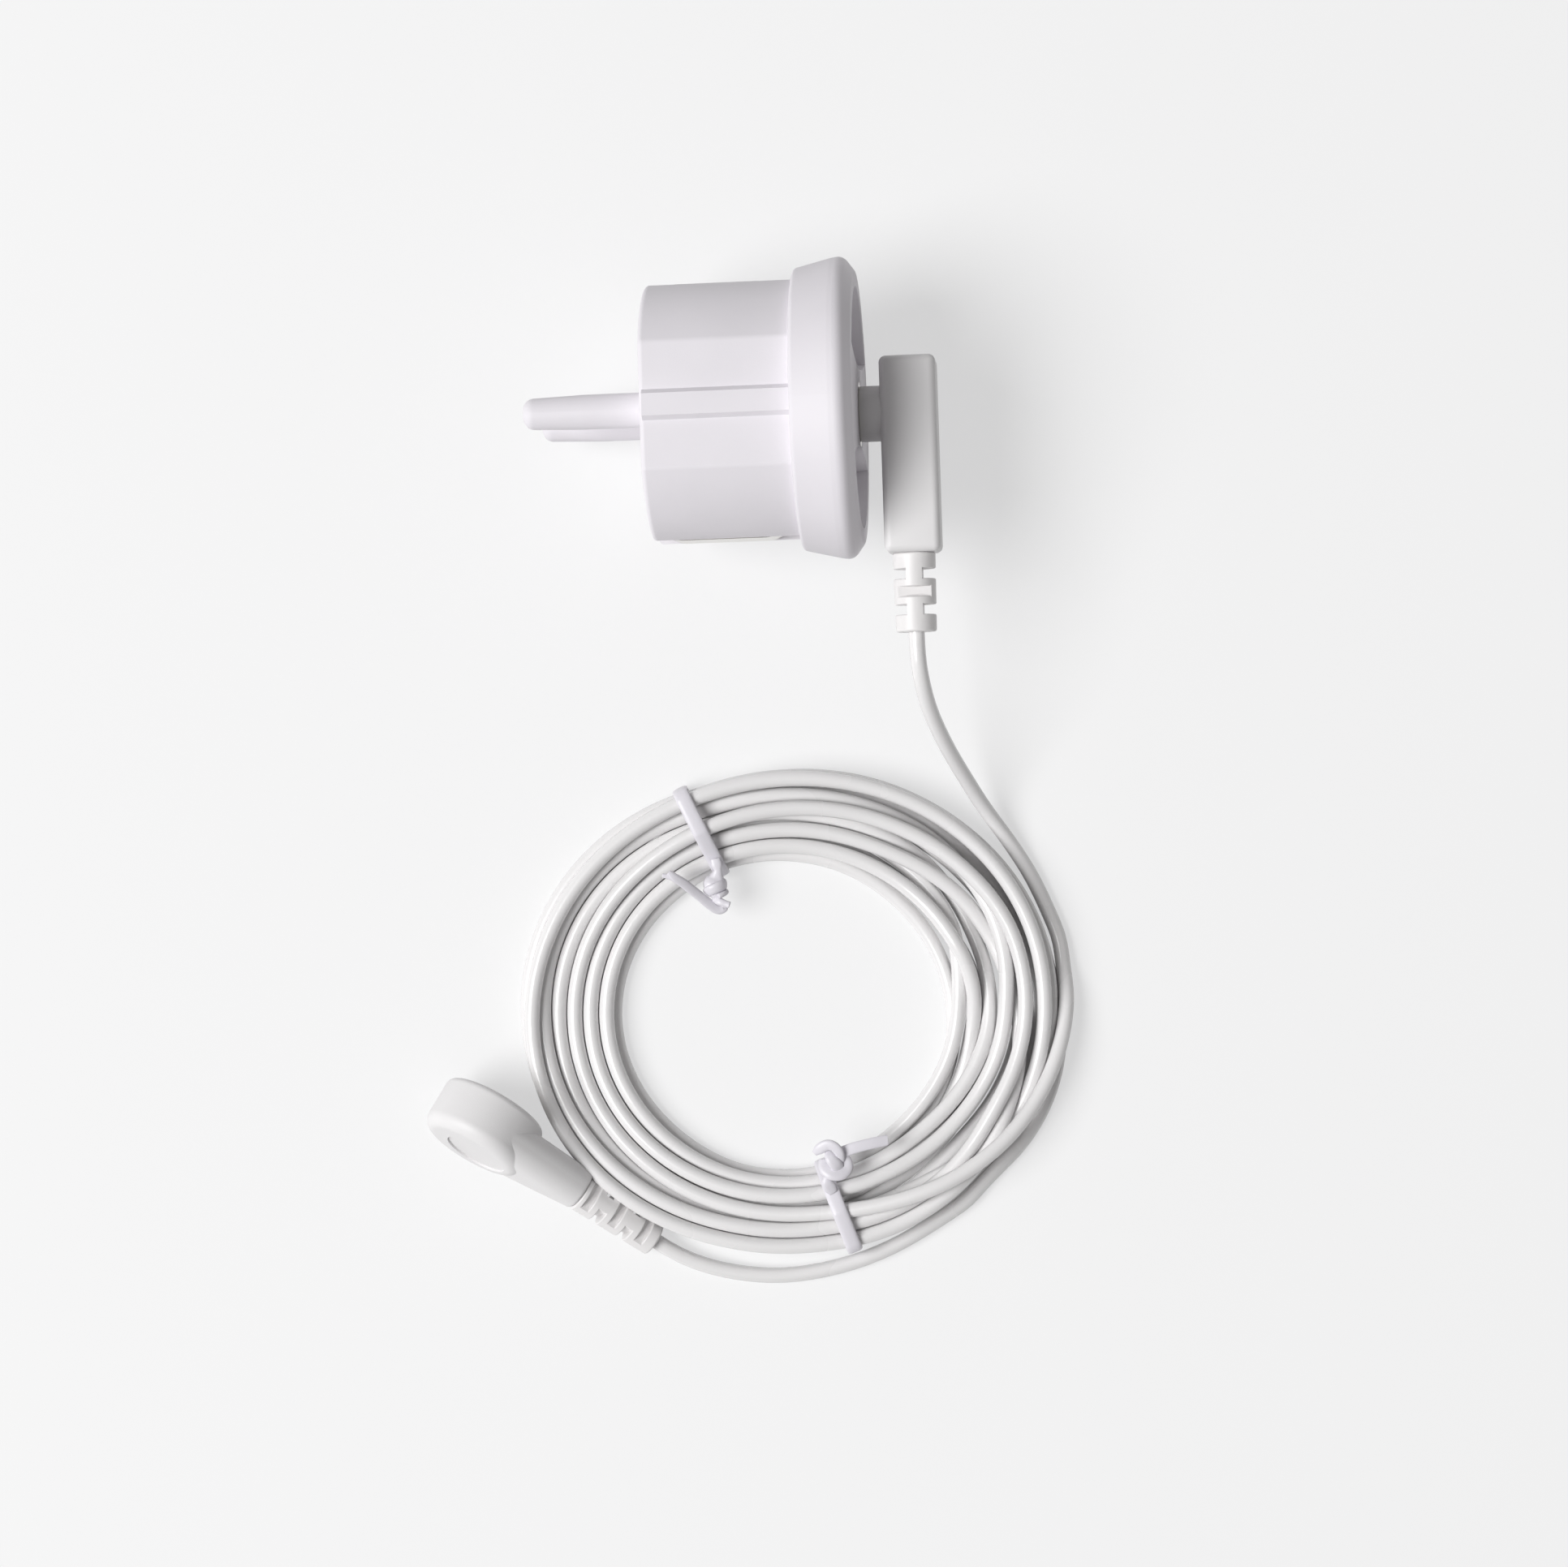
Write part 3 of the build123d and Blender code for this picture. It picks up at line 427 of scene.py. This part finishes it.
# Rows of the knots and ends: place, half width and half thickness, in millimetres
upper_strips = [
    path_rings([
        (-4.75, -63.8, 7.0, 0.7, 0.3), (-4.55, -64.7, 6.9, 0.8, 0.4), (-4.42, -65.5, 6.7, 0.6, 0.5),
        (-4.6, -66.5, 6.3, 1.1, 0.8), (-4.9, -67.4, 6.1, 1.7, 1.2), (-4.85, -68.3, 6.1, 1.5, 1.15),
        (-4.7, -69.2, 6.1, 0.9, 0.8), (-4.5, -69.8, 6.1, 0.6, 0.5),
    ]),
    path_rings(coil_rows(Vector((-5.0, -67.4, 6.1)), Vector((0.4, -2.0, 0.1)), (1.55, 0.95), 1.6, 0.8)),
    path_rings([
        (-5.0, -69.7, 6.2, 0.5, 0.45), (-4.3, -70.1, 6.7, 0.6, 0.5), (-3.4, -70.45, 6.9, 0.5, 0.42),
        (-2.85, -70.65, 7.0, 0.5, 0.42),
    ]),
    path_rings([
        (-3.9, -70.4, 5.6, 0.5, 0.4), (-3.7, -71.1, 5.5, 0.6, 0.42), (-4.5, -71.3, 5.6, 0.72, 0.42),
        (-5.5, -70.7, 6.0, 0.75, 0.42), (-7.42, -68.98, 7.2, 0.72, 0.4), (-9.41, -67.25, 8.6, 0.7, 0.38),
        (-10.69, -66.3, 9.3, 0.62, 0.34), (-11.5, -65.5, 9.5, 0.4, 0.3),
    ]),
    path_rings([
        (-9.9, -67.3, 8.5, 0.3, 0.25), (-11.2, -66.3, 9.1, 0.42, 0.28), (-12.5, -65.95, 9.3, 0.3, 0.2),
    ]),
]
lower_strips = [
    path_rings([
        (10.9, -113.1, 7.6, 0.7, 0.3), (10.45, -112.3, 8.0, 0.95, 0.36), (10.1, -111.6, 8.3, 0.8, 0.4),
        (10.1, -111.0, 8.3, 0.6, 0.45), (10.6, -110.5, 8.2, 0.5, 0.5), (11.2, -109.6, 8.4, 0.5, 0.5),
    ]),
    path_rings([
        (9.75, -108.2, 8.6, 0.8, 0.45), (9.85, -109.3, 9.0, 1.0, 0.5), (10.7, -110.0, 9.3, 1.15, 0.55),
        (12.0, -110.1, 9.2, 1.15, 0.55), (12.9, -109.4, 8.9, 1.05, 0.5), (12.9, -108.3, 8.8, 0.8, 0.45),
        (12.1, -107.8, 9.0, 0.5, 0.4),
    ]),
    path_rings([
        (12.2, -109.5, 9.0, 0.6, 0.4), (11.5, -108.9, 9.7, 0.95, 0.42), (10.7, -107.9, 9.9, 0.85, 0.42),
        (10.3, -107.0, 9.3, 0.5, 0.4),
    ]),
    path_rings([
        (8.4, -107.1, 9.3, 0.45, 0.3), (9.1, -106.5, 9.7, 0.8, 0.36), (10.3, -105.9, 10.1, 0.8, 0.36),
        (11.4, -106.3, 10.2, 0.75, 0.36), (12.0, -107.3, 9.9, 0.7, 0.36), (12.1, -108.4, 9.2, 0.6, 0.36),
    ]),
    path_rings([
        (11.4, -107.5, 8.9, 0.7, 0.3), (12.6, -107.05, 9.1, 0.85, 0.26), (14.46, -106.46, 9.3, 0.85, 0.24),
        (16.84, -105.95, 9.3, 0.83, 0.24), (18.7, -105.65, 9.1, 0.83, 0.24), (19.15, -105.6, 9.1, 0.7, 0.2),
    ]),
]
upper_loop = loop_rings(UPPER_TIE_ANGLE, UPPER_TIE_SLANT)
lower_loop = loop_rings(LOWER_TIE_ANGLE, LOWER_TIE_SLANT)
upper_tie = tie_piece("twist_tie_upper", "upper_tie", upper_loop, upper_strips)
lower_tie = tie_piece("twist_tie_lower", "lower_tie", lower_loop, lower_strips)

cord_length = curve_length(cord)
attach(cord, "root")
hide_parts("cord_lead", "cord_coil", "cord_tail")


# Lead plug's block: a slab with rounded corners, a little deeper than its collar, square to the plug's axis
PITCH = math.radians(4.6)
BLOCK_AXIS = Vector((25.27, 0, 22.11))
BLOCK_ENDS = (-20.95, 6.9)
BLOCK_HALF_WIDTH = 4.0
BLOCK_HALF_DEPTH = 4.45
BLOCK_CORNER = 1.05
CORNER_STEPS = 6
BLOCK_END_ROUND = 1.0
END_STEPS = 6
COLLAR_R = 3.97
COLLAR_CHAMFER = 0.15
COLLAR_SIDES = 48
COLLAR_START = -7.03
COLLAR_SHIFT = -0.95
ALONG = Vector((math.cos(PITCH), 0, math.sin(PITCH)))
UPWARD = Vector((-math.sin(PITCH), 0, math.cos(PITCH)))


def block_outline(inset):
    """The block's outline, drawn in by a distance, as places along and above the plug's axis."""
    half = (BLOCK_HALF_WIDTH - BLOCK_CORNER, BLOCK_HALF_DEPTH - BLOCK_CORNER)
    outline = []
    for quarter, (u, v) in enumerate(((1, 1), (-1, 1), (-1, -1), (1, -1))):
        for k in range(CORNER_STEPS + 1):
            turn = math.pi / 2 * (quarter + k / CORNER_STEPS)
            radius = BLOCK_CORNER - inset
            outline.append((u * half[0] + radius * math.cos(turn), v * half[1] + radius * math.sin(turn)))
    return outline


def add_rings(build, rings):
    """Joins rings of places into a closed solid."""
    join_loops(build, [[build.verts.new(place * MM) for place in ring] for ring in rings])


def block_piece():
    """The slab with its rounded ends, and the collar toward the plug."""
    build = bmesh.new()
    turns = [math.pi / (2 * END_STEPS) * k for k in range(END_STEPS + 1)]
    rounds = [(1 - math.sin(turn), 1 - math.cos(turn)) for turn in turns]
    low, high = BLOCK_ENDS
    stations = [(low + BLOCK_END_ROUND * a, BLOCK_END_ROUND * b) for a, b in reversed(rounds)]
    stations += [(high - BLOCK_END_ROUND * a, BLOCK_END_ROUND * b) for a, b in rounds]
    rings = []
    for y, inset in stations:
        centre = BLOCK_AXIS + Vector((0, y, 0))
        rings.append([centre + ALONG * u + UPWARD * v for u, v in block_outline(inset)])
    add_rings(build, rings)
    collar = []
    for reach, radius in (
        (COLLAR_START, COLLAR_R - COLLAR_CHAMFER),
        (COLLAR_START + COLLAR_CHAMFER, COLLAR_R),
        (0.0, COLLAR_R),
    ):
        centre = BLOCK_AXIS + Vector((0, COLLAR_SHIFT, 0)) + ALONG * reach
        turns = [2 * math.pi * k / COLLAR_SIDES for k in range(COLLAR_SIDES)]
        outs = [UPWARD * math.cos(turn) + Vector((0, math.sin(turn), 0)) for turn in turns]
        collar.append([centre + out * radius for out in outs])
    add_rings(build, collar)
    return finish_piece(build, "lead_plug_block", "plug_barrel", flat_ends=True)


block = block_piece()


# Materials
CLOUD_SCALE = 60.0
CLOUD_DETAIL = 3.0
CLOUD_SPAN = (0.3, 0.7)
GLOSS_CHANGE = 0.06
GRAIN_DETAIL = 2.0
METAL_DETAIL = 4.0
METAL_DARKER = 0.88
METAL_GLOSS = (0.7, 1.3)
METAL_BUMP = 0.3
METAL_LINE_DEPTH = 0.01


def start_material(name):
    """A new material with its node tree and its shader."""
    material = bpy.data.materials.new(name)
    material.use_nodes = True
    return material, material.node_tree, material.node_tree.nodes["Principled BSDF"]


def add_noise(tree, scale, detail):
    """Cloudy noise that stays with the object."""
    place = tree.nodes.new("ShaderNodeTexCoord")
    noise = tree.nodes.new("ShaderNodeTexNoise")
    noise.inputs["Scale"].default_value = scale
    noise.inputs["Detail"].default_value = detail
    tree.links.new(place.outputs["Object"], noise.inputs["Vector"])
    return noise.outputs["Fac"]


def vary_colour(tree, shader, noise, dark, light, span=(0.0, 1.0)):
    """Lets the colour change between two tones with the noise."""
    tint = tree.nodes.new("ShaderNodeValToRGB")
    for element, position, tone in zip(tint.color_ramp.elements, span, (dark, light)):
        element.position = position
        element.color = list(tone) + [1]
    tree.links.new(noise, tint.inputs["Fac"])
    tree.links.new(tint.outputs["Color"], shader.inputs["Base Color"])


def vary_roughness(tree, shader, noise, low, high):
    """Lets the roughness change between two values with the noise."""
    gloss = tree.nodes.new("ShaderNodeMapRange")
    gloss.inputs["To Min"].default_value = low
    gloss.inputs["To Max"].default_value = high
    tree.links.new(noise, gloss.inputs["Value"])
    tree.links.new(gloss.outputs["Result"], shader.inputs["Roughness"])


def add_bump(tree, shader, noise, strength, depth):
    """Raises the surface by the noise, up to a depth in millimetres."""
    bump = tree.nodes.new("ShaderNodeBump")
    bump.inputs["Strength"].default_value = strength
    bump.inputs["Distance"].default_value = depth * MM
    tree.links.new(noise, bump.inputs["Height"])
    tree.links.new(bump.outputs["Normal"], shader.inputs["Normal"])


def plastic(name, colour, roughness, grain_size, grain_depth, mottle=0.03, coat=0.0):
    """Moulded plastic with a fine surface texture and slight unevenness of colour and gloss."""
    material, tree, shader = start_material(name)
    shader.inputs["Coat Weight"].default_value = coat
    cloud = add_noise(tree, CLOUD_SCALE, CLOUD_DETAIL)
    dark = [c * (1 - mottle) for c in colour]
    light = [min(c * (1 + mottle), 1) for c in colour]
    vary_colour(tree, shader, cloud, dark, light, CLOUD_SPAN)
    vary_roughness(tree, shader, cloud, roughness - GLOSS_CHANGE, roughness + GLOSS_CHANGE)
    grain = add_noise(tree, 1.0 / (grain_size * MM), GRAIN_DETAIL)
    add_bump(tree, shader, grain, 1.0, grain_depth)
    return material


def metal(name, colour, roughness, line_scale):
    """Plated or turned metal with fine lines."""
    material, tree, shader = start_material(name)
    shader.inputs["Metallic"].default_value = 1.0
    lines = add_noise(tree, line_scale, METAL_DETAIL)
    vary_colour(tree, shader, lines, [c * METAL_DARKER for c in colour], colour)
    vary_roughness(tree, shader, lines, roughness * METAL_GLOSS[0], roughness * METAL_GLOSS[1])
    add_bump(tree, shader, lines, METAL_BUMP, METAL_LINE_DEPTH)
    return material


shell = plastic("shell_plastic", (0.77, 0.745, 0.785), 0.55, 0.22, 0.012)
connector = plastic("connector_plastic", (0.77, 0.76, 0.765), 0.48, 0.16, 0.014)
relief = plastic("relief_plastic", (0.80, 0.785, 0.785), 0.40, 0.5, 0.01)
sheath = plastic("cord_sheath", (0.82, 0.81, 0.812), 0.27, 0.9, 0.02, mottle=0.015, coat=0.3)
tie_film = plastic("tie_film", (0.76, 0.74, 0.79), 0.35, 0.4, 0.02)
nickel = metal("nickel_plate", (0.72, 0.70, 0.66), 0.22, 900.0)
brass = metal("turned_brass", (0.78, 0.60, 0.30), 0.28, 1400.0)
lacquer = plastic("resistor_lacquer", (0.20, 0.36, 0.48), 0.3, 0.3, 0.01)

NODE_MATERIALS = {
    "front_housing": shell,
    "rear_cover": shell,
    "earth_strap": nickel,
    "jack_socket": nickel,
    "jack_washer": nickel,
    "jack_nut": brass,
    "centre_screw": nickel,
    "plug_barrel": connector,
    "lead_pin": nickel,
    "pin_spring": brass,
    "series_resistor": lacquer,
    "wire_crimp": nickel,
    "plug_relief": relief,
    "cord_lead": sheath,
    "cord_coil": sheath,
    "cord_tail": sheath,
    "upper_tie": tie_film,
    "lower_tie": tie_film,
    "snap_housing": connector,
    "snap_socket": nickel,
    "snap_spring": nickel,
    "snap_terminal": brass,
    "snap_relief": relief,
}
for name, material in NODE_MATERIALS.items():
    nodes[name].data.materials.clear()
    nodes[name].data.materials.append(material)
cord.data.materials.append(sheath)
upper_tie.data.materials.append(tie_film)
lower_tie.data.materials.append(tie_film)
block.data.materials.append(connector)

# Floor, white to the camera, in reflections and through clear parts, away from the shadows
FLOOR_HALF = 1.5
FLOOR_GREY = 0.90
FLOOR_GLOW = 0.93
GLOW_BLUER = 1.005
GLOW_SHARE = 0.6
floor_data = bpy.data.meshes.new("floor")
floor_build = bmesh.new()
bmesh.ops.create_grid(floor_build, x_segments=1, y_segments=1, size=FLOOR_HALF)
floor_build.to_mesh(floor_data)
floor_build.free()
floor = bpy.data.objects.new("floor", floor_data)
scene.collection.objects.link(floor)
paper, tree, matt = start_material("paper_white")
matt.inputs["Base Color"].default_value = (FLOOR_GREY, FLOOR_GREY, FLOOR_GREY, 1)
matt.inputs["Roughness"].default_value = 0.9
matt.inputs["Specular IOR Level"].default_value = 0.1
glow = tree.nodes.new("ShaderNodeEmission")
glow.inputs["Color"].default_value = (FLOOR_GLOW, FLOOR_GLOW, FLOOR_GLOW * GLOW_BLUER, 1)
path = tree.nodes.new("ShaderNodeLightPath")
seen = path.outputs["Is Camera Ray"]
for ray in ("Is Glossy Ray", "Is Transmission Ray"):
    either = tree.nodes.new("ShaderNodeMath")
    either.operation = "MAXIMUM"
    tree.links.new(seen, either.inputs[0])
    tree.links.new(path.outputs[ray], either.inputs[1])
    seen = either.outputs[0]
share = tree.nodes.new("ShaderNodeMath")
share.operation = "MULTIPLY"
share.inputs[1].default_value = GLOW_SHARE
tree.links.new(seen, share.inputs[0])
mix = tree.nodes.new("ShaderNodeMixShader")
tree.links.new(share.outputs[0], mix.inputs["Fac"])
tree.links.new(matt.outputs["BSDF"], mix.inputs[1])
tree.links.new(glow.outputs["Emission"], mix.inputs[2])
tree.links.new(mix.outputs["Shader"], tree.nodes["Material Output"].inputs["Surface"])
floor_data.materials.append(paper)

# Light: one large soft lamp at the left and a weak pale surround
LAMP_PLACE = Vector((-1.15, -0.2, 1.55))
LAMP_AIM = Vector((0.005, -0.06, 0))
LAMP_SIZE = 1.2
LAMP_POWER = 35.5
SURROUND_COLOUR = (1.0, 0.99, 0.98, 1)
SURROUND_STRENGTH = 0.24
lamp_data = bpy.data.lights.new("soft_box", "AREA")
lamp_data.shape = "DISK"
lamp_data.size = LAMP_SIZE
lamp_data.energy = LAMP_POWER
lamp = bpy.data.objects.new("soft_box", lamp_data)
lamp.location = LAMP_PLACE
lamp.rotation_euler = (LAMP_AIM - LAMP_PLACE).to_track_quat("-Z", "Y").to_euler()
scene.collection.objects.link(lamp)

world = bpy.data.worlds.new("surround")
scene.world = world
world.use_nodes = True
surround = world.node_tree.nodes["Background"]
surround.inputs["Color"].default_value = SURROUND_COLOUR
surround.inputs["Strength"].default_value = SURROUND_STRENGTH

scene.view_settings.view_transform = "Standard"

bpy.context.view_layer.update()
